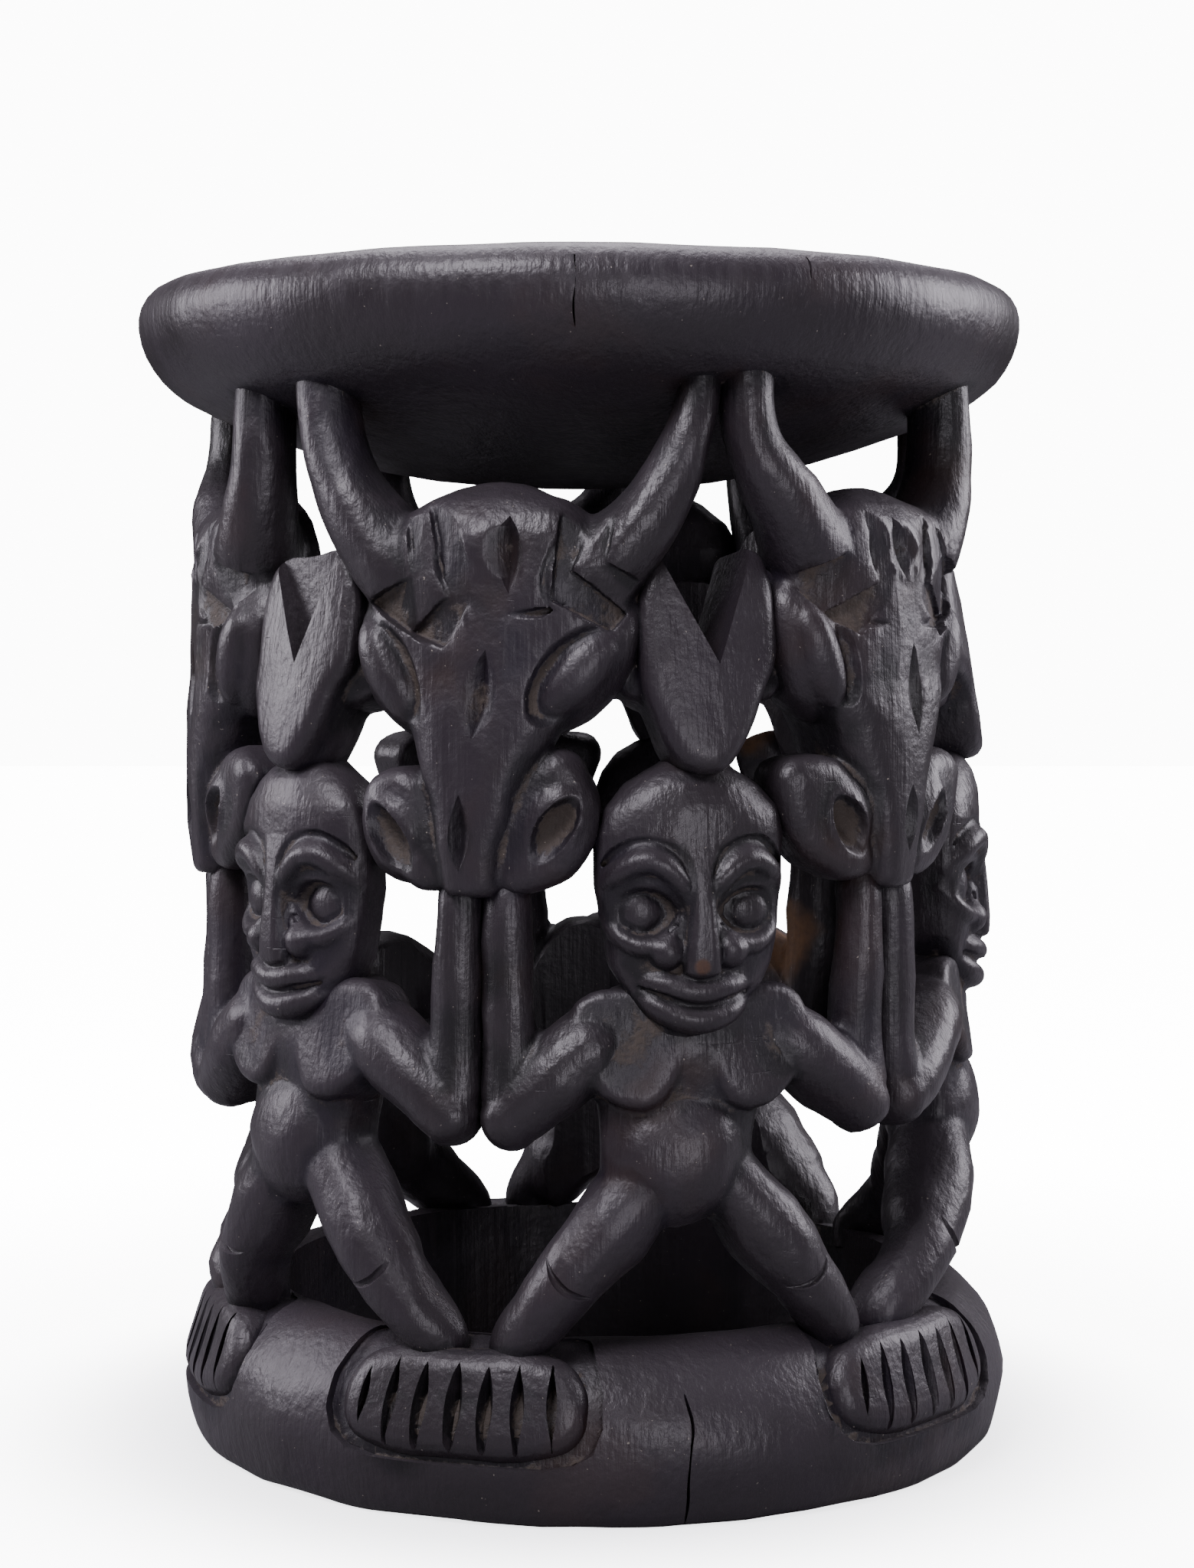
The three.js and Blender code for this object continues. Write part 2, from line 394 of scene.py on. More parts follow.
def step_cut(edge, foot, depth):
    """What a chisel takes out to leave a step: upright under the edge, then sloping up to
    the foot. Both are lines of (along, out, height)."""
    clear = 12
    return lofted([
        [
            on_plank(along, out + clear, height),
            on_plank(along, out - depth, height),
            on_plank(foot_along, foot_out, foot_height),
            on_plank(foot_along, foot_out + clear, foot_height),
        ]
        for (along, out, height), (foot_along, foot_out, foot_height) in zip(edge, foot)
    ])


def bent_round(piece, angle, lean=WALL_LEAN):
    """Bends a carved plank round the wall's axis and stands it at its angle."""
    alongs = [corner.co.x for corner in piece.data.vertices]
    width = max(alongs) - min(alongs)
    apply(
        piece,
        "SIMPLE_DEFORM",
        deform_method="BEND",
        deform_axis="Z",
        angle=width / (WALL_RADIUS * MM),
    )
    piece.data.transform(
        Matrix.Translation((lean * MM, 0, 0))
        @ Matrix.Rotation(math.radians(angle), 4, "Z")
        @ Matrix.Translation((0, -WALL_RADIUS * MM, 0))
    )
    return piece


# A buffalo's head

# One side of a head. The eye and the swelling round it are (along, height, half across,
# half long, lean), the ear is an outline and the two ends of its hollow, the horn is a line
# of (along, out, height, thickness), and the collar has three V-shaped edges, each through
# three places (along, out, height).
FRONT_LEFT = {
    "eye": (-37.5, 302, 9.8, 21.5, -27),
    "rim": (-38, 303, 15, 28, -25),
    "ear": [
        (-49.7, 258), (-48.5, 247), (-42, 236), (-33, 227.5), (-20, 223), (-12, 226),
        (-13, 240), (-18.5, 254), (-27, 266.5), (-39, 268.5),
    ],
    "hollow": [(-44, 257), (-26, 227.5)],
    "horn": [
        (-30, 134, 328, 20), (-41, 138.5, 342, 18), (-52, 142.5, 356, 15),
        (-61, 145, 373, 12.5), (-67.5, 145, 392, 11.5), (-70.5, 144, 412, 11.5),
    ],
    "collar": [
        [(-31, 150, 366), (-25.5, 158, 335.4), (-46, 149, 326.5)],
        [(-21, 152, 362), (-12.4, 158, 328), (-28, 150, 315.5)],
        [(-9, 155, 356), (-1, 157.5, 329), (-13, 153, 310)],
    ],
    "crease": [(-27.5, 156, 357), (-12, 158, 345), (0, 159.5, 333), (1, 159, 321)],
}
FRONT_RIGHT = {
    "eye": (33, 301, 10, 20.5, 41),
    "rim": (36, 304, 16, 31, 41),
    "ear": [
        (3.5, 256), (2, 240), (5, 224), (22, 225.5), (36, 235), (41.5, 251),
        (38.5, 262), (28, 275), (15, 269.5),
    ],
    "hollow": [(33.4, 259.6), (15.7, 232.5)],
    "horn": [
        (32, 134, 328, 20), (43, 138.5, 340, 17.5), (55, 142.5, 353, 14), (64, 145, 366, 11.5),
        (70.5, 145, 379, 10.2), (76, 144.5, 396, 9), (78, 143, 412, 9),
    ],
    "collar": [
        [(47.5, 151, 366), (42.5, 158, 340), (61, 147, 330)],
        [(38, 150, 364), (31, 156.5, 337), (50, 147, 322)],
        [(27, 150, 362), (23.5, 155.5, 326.5), (44, 148, 315.5)],
    ],
    "crease": [(29, 155, 357), (25, 157, 345), (21.5, 158, 333), (24, 157, 321)],
}
SIDE = {
    "eye": (-37.5, 307, 9.4, 20.5, -21),
    "rim": (-39.5, 309, 15.5, 28, -20),
    "ear": [
        (-55, 266), (-53, 252), (-46, 238), (-34, 229), (-20, 225), (-10, 228.5), (-12, 242),
        (-17, 256), (-25, 269), (-41, 273),
    ],
    "hollow": [(-33.5, 258), (-18, 233)],
    "horn": [
        (-27, 134, 335, 19.5), (-37.5, 139, 349, 17.5), (-47, 142.5, 360.5, 15.5),
        (-56, 145, 371, 13.2), (-62.5, 145, 382, 11.7), (-65.5, 144.5, 396, 11),
        (-66, 144, 412, 11),
    ],
    "collar": [
        [(-25, 151, 369), (-28, 157.5, 344.6), (-51, 148, 335)],
        [(-19.5, 153, 362), (-14.4, 157.5, 334), (-37, 150, 322)],
        [(-11, 154, 358), (-5.5, 158, 331.5), (-23, 153, 314.5)],
    ],
    "crease": [(-20, 155, 361), (-12, 157.5, 350), (-4, 158.5, 336), (-6, 158.5, 322)],
}
UPRIGHT_HORN = [
    (27, 134, 335, 19.5), (37, 140, 348, 17), (44, 143.5, 360, 14), (49, 145, 376, 12.2),
    (51, 145, 394, 11.5), (51, 144, 412, 11.5),
]
STEPS = (2.8, 2.5)  # how deep the two steps of a collar are cut
# A muzzle is how far along its tip stands; each slit is (along, out, height, halves, lean)
FRONT_MUZZLE = -5.5
FRONT_SLITS = [
    (9.4, 157.5, 345.5, (5.6, 6.6, 17.5), 0),
    (-0.3, 159.5, 295, (5.4, 6, 17), 8),
    (-7.5, 160.5, 244, (4.6, 5.4, 16.5), 1),
]
SIDE_MUZZLE = -1.3
SIDE_SLITS = [
    (-2.2, 157, 348.5, (5, 6.4, 14.5), -12),
    (3.6, 160, 297, (4.8, 6, 19), -2),
    (0.3, 160.5, 247, (4.6, 5.4, 14), 0),
]


def mirrored(side, muzzle):
    """The same side of a head, carved on its other side; the ear turns about the muzzle."""
    along, height, across, long, lean = side["eye"]
    rim_along, rim_height, rim_across, rim_long, rim_lean = side["rim"]
    return {
        "eye": (-along, height, across, long, -lean),
        "rim": (-rim_along, rim_height, rim_across, rim_long, -rim_lean),
        "ear": [(2 * muzzle - x, z) for x, z in side["ear"]],
        "hollow": [(2 * muzzle - x, z) for x, z in side["hollow"]],
        "horn": [(-x, out, z, thick) for x, out, z, thick in side["horn"]],
        "collar": [[(-x, out, z) for x, out, z in edge] for edge in side["collar"]],
        "crease": [(-x, out, z) for x, out, z in side["crease"]],
    }


def scored(line, thick, deep):
    """A thin score, tapering to its ends, along a line of (along, out, height)."""
    ends = (0, len(line) - 1)
    return limb(
        [(*knot, SCORE_END if k in ends else thick) for k, knot in enumerate(line)], deep
    )


def ear(outline, hollow):
    """A shell of an ear with a leaf-shaped hollow."""
    (top_along, top), (low_along, low) = hollow
    run = top_along - low_along
    rise = top - low
    shell = joined([
        plate(outline, 128, 154.5, 8),
        ball(
            (top_along + low_along) / 2, 141, (top + low) / 2 + 4, (17, 17.5, 21),
            0.6 * math.degrees(math.atan2(run, rise)),
        ),
    ])
    shell = fused([shell], FINE_GRAIN, 4)
    return cut(shell, mark(
        (top_along + low_along) / 2,
        159,
        (top + low) / 2,
        (6.5, 9.5, math.hypot(run, rise) * 0.58),
        math.degrees(math.atan2(run, rise)),
        almond,
    ))


def buffalo_head(left, right, muzzle, slits):
    """A domed brow, big slanting eyes, a long muzzle, leaf-shaped ears and stepped horns."""
    skull = stack([
        (222, 8.5, 9, muzzle, 147),
        (225, 11, 14, muzzle, 144.5),
        (240, 13, 17, muzzle, 143),
        (256, 17.5, 19.5, 0.8 * muzzle, 140.5),
        (270, 23.5, 21.5, 0.6 * muzzle, 138.5),
        (280, 28, 22.5, 0.3 * muzzle, 137),
        (290, 35, 23.5, 0, 135.5),
        (300, 44, 24, 0, 134),
        (312, 49, 25, 0.5, 133),
        (326, 50, 26, 1, 132),
        (340, 48, 26, 1, 131),
        (350, 43, 25.5, 1, 131),
        (357, 36, 23.5, 1, 131),
        (363, 27, 19, 1.5, 131),
        (367, 15, 12, 2, 131),
        (368.8, 8, 7, 2, 131),
    ], corner=0.6)
    lumps = [skull, ball(2, 134, 342, (34, 25, 27))]
    for side in (left, right):
        along, height, across, long, lean = side["rim"]
        lumps.append(limb(side["horn"], 1.1))
        lumps.append(ball(along, 138, height, (across, 17.5, long), lean))
    head = fused(lumps, ROUGH_GRAIN, 5)
    for side in (left, right):
        along, height, across, long, lean = side["eye"]
        cut(head, ball(along, 158.5, height, (across + 2.6, 9, long + 2.6), lean))
    fine = [head]
    for side in (left, right):
        along, height, across, long, lean = side["eye"]
        fine.append(ball(along, 149.5, height, (across, 9.3, long), lean))
        fine.append(ear(side["ear"], side["hollow"]))
    head = planed(fused(fine, FINE_GRAIN, 2), 19, 1.3)
    for along, out, height, (across, _, long), lean in slits[:2]:
        cut(head, ball(along, out + 5.4, height + 1, (across * 2, 8, long * 1.25), lean))
    for side in (left, right):
        horn, band, base = side["collar"]
        cut(head, step_cut(horn, band, STEPS[0]))
        cut(head, step_cut(band, base, STEPS[1]))
        cut(head, scored(side["crease"], 2.1, 1.1))
        (top, _, upper), (point, _, lower), _ = band
        cut(head, mark(
            top * 0.35 + point * 0.65, 157.5, upper * 0.35 + lower * 0.65, (2.8, 6, 10),
            math.degrees(math.atan2(top - point, upper - lower)),
        ))
        way = math.copysign(1, point)
        cut(head, scored([
            (way * 31, 153, lower - 11), (way * 20, 156, lower - 14.5), (way * 4, 158.5, lower - 15),
        ], 1.9, 1.1))
    head = fused([head], FINE_GRAIN, 1)
    for along, out, height, halves, lean in slits:
        cut(head, mark(along, out, height, halves, lean))
    return head


# A figure

def face():
    """Arched brows, ringed almond eyes, a long straight nose, full smiling lips."""
    skull = stack([
        (170.5, 9, 8, -0.5, 143.5),
        (174, 14.5, 11, -0.5, 143.5),
        (181, 21, 13.5, -0.5, 142.5),
        (189, 26.8, 15, 0, 142),
        (198, 31.7, 15.5, 0, 141.7),
        (212, 35.2, 16, 0, 141.5),
        (230, 37.2, 16.5, 0, 141.5),
        (244, 37.8, 17, 0, 141.5),
        (254, 34, 16.5, 0, 141.5),
        (262, 26.5, 15, 0, 140.5),
        (268, 17, 12, 0, 139),
        (272, 8.4, 8, 0, 137),
        (273.5, 4, 4, 0, 136),
    ], corner=0.72)
    head = planed(fused([skull], ROUGH_GRAIN, 4), 25, 2.0, 1.1)
    for side in (-1, 1):
        cut(head, ball(side * 19.5, 164, 222, (18.5, 11, 20), side * 8))
        cut(head, ball(side * 19, 161, 217, (14.5, 13, 10)))
    fine = [head]
    for side in (-1, 1):
        fine.append(ball(side * 19.8, 147.4, 217, (13, 5.4, 8)))
        fine.append(ball(side * 20.3, 151.8, 217.2, (6.8, 2.3, 6.6)))
        brow = [(3, 156, 220, 2.6), (8.5, 157, 230, 4.4), (17.5, 156, 235.5, 5),
                (27, 152.5, 231.5, 4.6), (34.5, 144.5, 223, 2.6)]
        lower_lid = [(4.5, 153.7, 217, 2.2), (9.5, 154.6, 209, 3.4), (18.5, 154.2, 205.2, 3.8),
                     (27.5, 150.8, 209, 3.4), (33.5, 143.5, 218, 2.2)]
        upper_lid = [(5, 153.3, 218.5, 2.1), (11, 154.2, 225.8, 2.9), (19.5, 153.8, 228.4, 3),
                     (27.5, 150.5, 225.4, 2.9), (33.5, 143.5, 218.5, 2)]
        for line in (brow, lower_lid, upper_lid):
            fine.append(limb([(side * x, out, z, thick) for x, out, z, thick in line], 1.15))
        fine.append(ball(side * 11.3, 155.3, 203.6, (6.5, 6.4, 6.2)))
    nose = stack([
        (194.5, 5, 4, 0.5, 157),
        (196.5, 6.4, 6, 0.5, 157),
        (203, 6, 6.8, 0.5, 156.5),
        (214, 5, 6.5, 0.5, 156),
        (226, 4.4, 6, 0.5, 155.2),
        (236, 6.5, 5.5, 0.5, 154.4),
        (246, 11, 3, 0.5, 154.5),
    ], corner=0.6)
    upper_lip = limb([(-25, 146, 195, 2), (-13, 153.8, 192, 4.9), (-1, 156.2, 189.4, 5.3),
                      (11.5, 153.8, 191, 4.9), (23.5, 146, 192.8, 2)], 1.15)
    lower_lip = limb([(-24, 146, 190, 2), (-13, 152.8, 183.2, 4.9), (-1, 155.2, 179.4, 5.3),
                      (11, 152.8, 181.8, 4.9), (22.5, 146, 187.5, 2)], 1.15)
    fine.extend([nose, upper_lip, lower_lip])
    head = fused(fine, FINE_GRAIN, 1)
    cut(head, scored([(-24, 149, 192.5), (-13, 158.6, 187.6), (-1, 161, 184.4),
                      (11, 158.6, 186.4), (22.5, 149, 190)], 1.9, 1.7))
    cut(head, scored([(-17, 158, 200), (-8, 160.6, 195.8), (0, 162, 193.6), (8, 160.6, 195.4),
                      (17, 158, 198)], 1.5, 1.6))
    for side in (-1, 1):
        cut(head, scored([(side * 7.3 + 0.5, 162, 211), (side * 7.2 + 0.5, 161.5, 203),
                          (side * 6.8 + 0.5, 160, 196)], 1.1, 1.7))
        cut(head, scored([(side * 36, 143.5, 229), (side * 29, 153.8, 238.5),
                          (side * 19, 158.2, 242.8), (side * 8.5, 159.8, 238.5),
                          (side * 3.2, 159.8, 227)], 2.2, 1.1))
        cut(head, scored([(side * 2.5, 155, 213), (side * 9, 156.5, 212.5),
                          (side * 13, 156, 203.5)], 0.9, 1.6))
    head.data.transform(Matrix.Translation((0, SET_BACK * MM, 0)))
    return fused([head], FACE_GRAIN, 1)


def figure(left_hand, right_hand, left_foot, right_foot, bulk, tuck):
    """A standing figure's body; where its hands and feet are along the plank. Bulk is how
    much thicker its limbs were left, towards the inside of the wall, and tuck is how far
    its right knee is drawn in."""
    sink = 15 * (bulk - 1)
    shoulder = 22
    body = stack([
        (104, 8, 8, -4, 138),
        (112, 20, 14, -4, 137.5),
        (124, 30, 17, -4, 136),
        (138, 31, 17, -4, 135),
        (150, 33, 16.5, -3, 134),
        (160, 38, 18, -1, 133.5),
        (172, 43, 18, 0, 133.5),
        (182, 40, 15.5, 0, 133),
        (190, 30, 11, 0, 133),
    ], corner=0.7)
    lumps = [body]
    for side, hand, foot in ((-1, left_hand, left_foot), (1, right_hand, right_foot)):
        arm = abs(hand) * 0.97 - shoulder
        lumps.append(limb([
            (side * 15, 131 - sink, 174, 10),
            (side * (shoulder + arm * 0.36), 137.5 - sink, 168.5, 16 * bulk),
            (side * (shoulder + arm * 0.66), 141 - sink, 157.5, 15.2 * bulk),
            (side * (shoulder + arm * 0.88), 143.5 - sink, 148, 13.5 * bulk),
            (side * (shoulder + arm * 0.95), 144 - sink, 144.5, 12.5 * bulk),
        ], 1.15))
        lumps.append(ball(hand * 0.96, 143.5 - sink, 144, (12 * bulk, 15 * bulk, 12.5 * bulk)))
        lumps.append(limb([
            (hand * 0.96, 143.5 - sink, 144, 9), (hand * 0.975, 143.5 - sink, 153, 11.8 * bulk),
            (hand * 0.98, 143.5 - sink, 168, 11.1 * bulk),
            (hand * 0.99, 143.5 - sink, 196, 10.4 * bulk),
            (hand, 143 - sink, 222, 10 * bulk), (hand, 139 - sink, 239, 5),
        ], 1.04))
        hip = side * 15
        leg = foot - hip
        knee = sink + (tuck if side > 0 else 0)
        lumps.append(limb([
            (hip, 136 - sink, 122, 15), (hip + leg * 0.3, 139.5 - knee, 104, 16.8 * bulk),
            (hip + leg * 0.53, 142 - knee, 91, 15.3 * bulk),
            (hip + leg * 0.64, 143.5 - knee, 84, 13.6 * bulk),
            (hip + leg * 0.8, 143 - 0.7 * knee, 74, 13 * bulk), (foot, 139.5, 62, 11.8),
            (foot, 135, 50, 9.5),
        ], 1.12))
    block = fused(lumps, ROUGH_GRAIN, 5)
    fine = [block, ball(-4, 137, 130, (30, 20.5, 28))]
    breast = [
        (-47, 178), (-43, 164), (-34, 153), (-23, 147.5), (-13, 149), (-7, 156.5), (-3.5, 168),
        (-5, 184), (-24, 192), (-42, 189),
    ]
    for side in (-1, 1):
        outline = [(-side * x, z) for x, z in breast]
        fine.append(tilted(plate(outline, 130, 155.8, 5), 155.8, 148, 11))
    block = planed(fused(fine, FINE_GRAIN, 6), 22, 1.7, 1.4)
    for side, foot in ((-1, left_foot), (1, right_foot)):
        hip = Vector((side * 17, 120))
        way = Vector((foot, 62)) - hip
        out_of_it = Vector((-way.y, way.x)).normalized() * side
        fold = [
            (hip + way * share + out_of_it * off, out)
            for share, off, out in ((0.56, 12, 152), (0.6, 5, 157.5), (0.6, -4, 158), (0.53, -13, 152))
        ]
        cut(block, scored([(spot.x, out, spot.y) for spot, out in fold], 1.7, 1.8))
    return block


def web(left, right, through):
    """The V of wood over a crown, between the cheeks of two heads at left and right along
    the plank: its notch goes through it, or it is only sunk into the front."""
    leaf = plate([
        (-2, 266.5), (-10, 268.5), (-16, 275), (-20, 284), (-24.5, 296), (left + 2, 307),
        (left + 1, 321), (left + 3, 334), (left + 9, 343), (0, 345), (right - 9, 347),
        (right - 3, 338), (right - 2, 322), (right - 3, 306), (21, 296), (16, 284.5),
        (11.5, 276), (4.5, 268),
    ], 125, 155, 6)
    back = plate([
        (left - 8, 300), (left - 9, 318), (left - 6, 336), (0, 342), (right + 6, 340),
        (right + 9, 320), (right + 8, 300), (0, 290),
    ], 121, 145, 6)
    leaf = fused([leaf, back, ball(-1, 138, 287, (17.5, 14.5, 21))], ROUGH_GRAIN, 3)
    leaf = tilted(planed(leaf, 19, 0.7), 156, 290, 9)
    notch = [(2.5, 304.5), (right - 9, 352), (0, 378), (left + 5, 352)]
    depths = (170, 100) if through else (170, 143)
    return cut(leaf, lofted([[on_plank(x, out, z) for x, z in notch] for out in depths]))


def slab():
    """The rounded slab left in the wall between the rear heads' horns."""
    return planed(fused([stack([
        (303, 18, 10, 0, 135),
        (310, 28, 13, 0, 135),
        (325, 38, 15, 0, 134),
        (352, 41, 16, 0, 134),
        (364, 35, 14, 0, 134),
        (373, 23, 11, 0, 134),
        (378, 10, 7, 0, 134),
    ])], ROUGH_GRAIN, 3), 19, 0.9)


# The ring and the seat

def eased(levels):
    """Twice as many levels, on a smooth curve through the given ones."""
    steps = 2
    more = []
    last = len(levels) - 1
    for k in range(last):
        before, here, after, beyond = (
            levels[min(max(k + step, 0), last)] for step in (-1, 0, 1, 2)
        )
        for step in range(steps):
            t = step / steps
            more.append(tuple(
                0.5 * (2 * b + (c - a) * t + (2 * a - 5 * b + 4 * c - d) * t * t
                       + (3 * b - a - 3 * c + d) * t ** 3)
                for a, b, c, d in zip(before, here, after, beyond)
            ))
    return more + [levels[last]]


def turned(levels, middle=0):
    """A round solid turned from (height, radius) levels."""
    bpy.ops.mesh.primitive_circle_add(vertices=SIDES, radius=1, fill_type="NGON")
    form = bpy.context.object
    bpy.ops.object.mode_set(mode="EDIT")
    bpy.ops.mesh.select_mode(type="FACE")
    bpy.ops.mesh.select_all(action="SELECT")
    last_height, last_radius = 0, 1 / MM
    for k, (height, radius) in enumerate(levels):
        step = (0, 0, (height - last_height) * MM)
        if k:
            bpy.ops.mesh.extrude_region_move(TRANSFORM_OT_translate={"value": step})
        else:
            bpy.ops.transform.translate(value=step)
        share = radius / last_radius
        bpy.ops.transform.resize(value=(share, share, 1), center_override=(0, 0, height * MM))
        last_height, last_radius = height, radius
    bpy.ops.mesh.select_all(action="SELECT")
    bpy.ops.mesh.normals_make_consistent(inside=False)
    bpy.ops.object.mode_set(mode="OBJECT")
    form.location.x = middle * MM
    return settle(form)


def seat():
    plank = turned(eased([
        (374, 20), (375, 45), (379, 75), (388, 110), (398, 138), (403, 149), (407, 156.5),
        (414, 165), (423, 170.8), (433, SEAT_RADIUS), (441, 172.6), (447, 168), (449.6, 161),
        (HEIGHT, 153), (449.6, 140), (448, 123), (446.4, 108), (446, 95), (446, 40), (446, 4),
    ]))
    plank = planed(plank, 38, 0.6, 0.6)
    for angle, low, high in ((-0.3, 418, 444), (28, 434, 448)):
        drop = high - low
        cut(plank, crack([
            (0, high), (0.5, high - drop / 3), (-0.3, low + drop / 3), (0.4, low),
        ], angle, SEAT_RADIUS - 3, 0, 0.42))
    return plank


def crack(line, angle, radius, lean, thick):
    """A drying crack's cutter: (across, height) places down a round face."""
    path = limb([(x, WALL_RADIUS, z, CRACK_END if k in (0, len(line) - 1) else thick)
                 for k, (x, z) in enumerate(line)])
    bpy.ops.object.mode_set(mode="EDIT")
    bpy.ops.mesh.select_all(action="SELECT")
    bpy.ops.transform.resize(value=(1, CRACK_DEPTH, 1), center_override=(0, 0, 0))
    bpy.ops.object.mode_set(mode="OBJECT")
    path.data.transform(
        Matrix.Translation((lean * MM, 0, 0))
        @ Matrix.Rotation(math.radians(angle), 4, "Z")
        @ Matrix.Translation((0, -radius * MM, 0))
    )
    return path


def ring_solid(inset):
    """The base ring's outside as a solid disc, its skin inset."""
    levels = [
        (0, 156), (2, 159), (10, 162), (22, 164), (34, 162.5), (45, 158), (53, 152), (59, 145),
        (62, 136), (61.5, 128), (61, 112),
    ]
    return turned(
        eased([(z if k == 0 else z - inset / 3, r - inset) for k, (z, r) in enumerate(levels)]),
        BASE_LEAN,
    )


def toes():
    """Eight toes: a rounded block parted by seven chisel marks."""
    block = plate([
        (-46, 41), (-43, 53), (-34, 61), (0, 64), (34, 62), (43, 54), (46, 43), (42.5, 32),
        (31, 26.3), (0, 24.5), (-31, 26), (-42, 31),
    ], 132, 163.5, 9)
    block = fused([tilted(block, 162.5, 34, 18)], FINE_GRAIN, 3)
    for along, top, low in (
        (-34, 55, 31), (-23.5, 57.5, 27), (-12.5, 57, 26.5), (-0.5, 59.5, 26), (10.5, 57, 26.5),
        (21.5, 57.5, 27.5), (33, 58, 30),
    ):
        out = 160.5 - 3 * (along / 33) ** 2
        cut(block, tilted(mark(
            along, out, (top + low) / 2 - 1, (3.1, 6.5, (top - low) * 0.56), 2.5 - along * 0.1,
        ), out, (top + low) / 2, 15))
    return block


def sunk_bed():
    """The oval that is cut out of the ring for a block of toes to lie in."""
    return stack([
        (22.5, 30, 16, 0, 170),
        (24.5, 40, 16, 0, 170),
        (29, 46, 16, 0, 170),
        (37, 49.5, 20, 0, 166),
        (48, 50, 24, 0, 162),
        (60, 47, 28, 0, 158),
        (70, 42, 28, 0, 158),
    ], corner=0.3)


def base_ring():
    ring = ring_solid(0)
    for angle in TOE_ANGLES:
        cut(ring, bent_round(copy_of(bed), angle, BASE_LEAN))
    ring = add(ring, ring_solid(3.2))
    cut(ring, turned([(-5, 124), (30, 124.5), (66, 126)], BASE_LEAN))
    ring = planed(ring, 34, 1.2, 0.6)
    for corner in ring.data.vertices:
        corner.co.z = max(corner.co.z, 0)
    for angle in TOE_ANGLES:
        add(ring, bent_round(copy_of(foot_block), angle, BASE_LEAN))
    cut(ring, crack([
        (0.8, 66), (-0.4, 56), (-0.2, 47), (1.6, 37), (0.5, 28), (-0.2, 18), (0, 9), (-0.9, -2),
    ], 11.8, 160, BASE_LEAN, 0.6))
    return ring


front_head = thinned(
    buffalo_head(FRONT_LEFT, FRONT_RIGHT, FRONT_MUZZLE, FRONT_SLITS), FRONT_FACES
)
side_right = mirrored(SIDE, SIDE_MUZZLE)
side_right["horn"] = UPRIGHT_HORN  # this one doesn't mirror the other
side_head = thinned(buffalo_head(SIDE, side_right, SIDE_MUZZLE, SIDE_SLITS), FRONT_FACES)
rear_head = thinned(copy_of(side_head), REAR_FACES)
bed = sunk_bed()
foot_block = thinned(toes(), TOE_FACES)
countenance = face()

stool = seat()
pieces = [base_ring()]
for k, angle in enumerate(HEAD_ANGLES):
    head = (side_head, front_head, side_head, rear_head, rear_head)[k]
    pieces.append(bent_round(copy_of(head), angle))
for k, angle in enumerate(FIGURE_ANGLES):
    after = (k + 1) % COUNT
    turn = 360 if after == 0 else 0
    left_hand = (HAND_ANGLES[k] + HAND_GAP - angle) * PER_DEGREE
    right_hand = (HAND_ANGLES[after] + turn - HAND_GAP - angle) * PER_DEGREE
    left_foot = (FOOT_ANGLES[k] + FOOT_GAP - angle) * PER_DEGREE
    right_foot = (FOOT_ANGLES[after] + turn - FOOT_GAP - angle) * PER_DEGREE
    body = figure(left_hand, right_hand, left_foot, right_foot, BULKS[k], TUCKS[k])
    body = add(body, copy_of(countenance))
    pieces.append(bent_round(thinned(body, FRONT_FACES if k < 3 else REAR_FACES), angle))
    left = (HEAD_ANGLES[k] - angle - WEB_TURN) * PER_DEGREE + CHEEK
    right = (HEAD_ANGLES[after] + turn - angle - WEB_TURN) * PER_DEGREE - CHEEK
    leaf = thinned(web(left, right, k not in (0, BACK)), WEB_FACES)
    pieces.append(bent_round(leaf, angle + WEB_TURN))
pieces.append(bent_round(thinned(slab(), WEB_FACES), FIGURE_ANGLES[BACK] + WEB_TURN))
for piece in pieces:
    stool = add(stool, piece)
cut(stool, turned([(height, BORE_RADIUS) for height in HOLLOW_LEVELS], WALL_LEAN))
for shape in (chisel, almond, front_head, side_head, rear_head, bed, foot_block, countenance):
    bpy.data.objects.remove(shape)
stool.name = "carved_stool_wood"
choose(stool)
bpy.ops.object.shade_smooth_by_angle(angle=math.radians(SHARP_EDGE))


# The finish

def neighbours_mean(values, ends, links):
    total = np.zeros_like(values)
    for here, there in ((0, 1), (1, 0)):
        for axis in range(3):
            total[:, axis] += np.bincount(ends[:, here], values[ends[:, there], axis], len(values))
    return total / links[:, None]


def note_hollows(piece, name, rounds, full):
    """Keeps on each corner how far it lies under the wood round it, 1 at full millimetres
    and less than 0 on a ridge."""
    mesh = piece.data
    places, normals = corners_of(piece)
    ends = np.empty(len(mesh.edges) * 2, dtype=np.int32)
    mesh.edges.foreach_get("vertices", ends)
    ends = ends.reshape(-1, 2)
    links = np.maximum(np.bincount(ends.ravel(), minlength=len(places)), 1)
    around = places
    for _ in range(rounds):
        around = neighbours_mean(around, ends, links)
    sunk = ((around - places) * normals).sum(axis=1) / (full * MM)
    spread = np.repeat(np.clip(sunk, -1, 1)[:, None], 3, axis=1)
    spread = neighbours_mean(spread, ends, links)
    mesh.attributes.new(name, "FLOAT", "POINT").data.foreach_set("value", spread[:, 0].copy())


# Narrow creases gather the dirt, and wide hollows keep it.
note_hollows(stool, "crevice", 3, 0.35)
note_hollows(stool, "hollow", 12, 1.2)


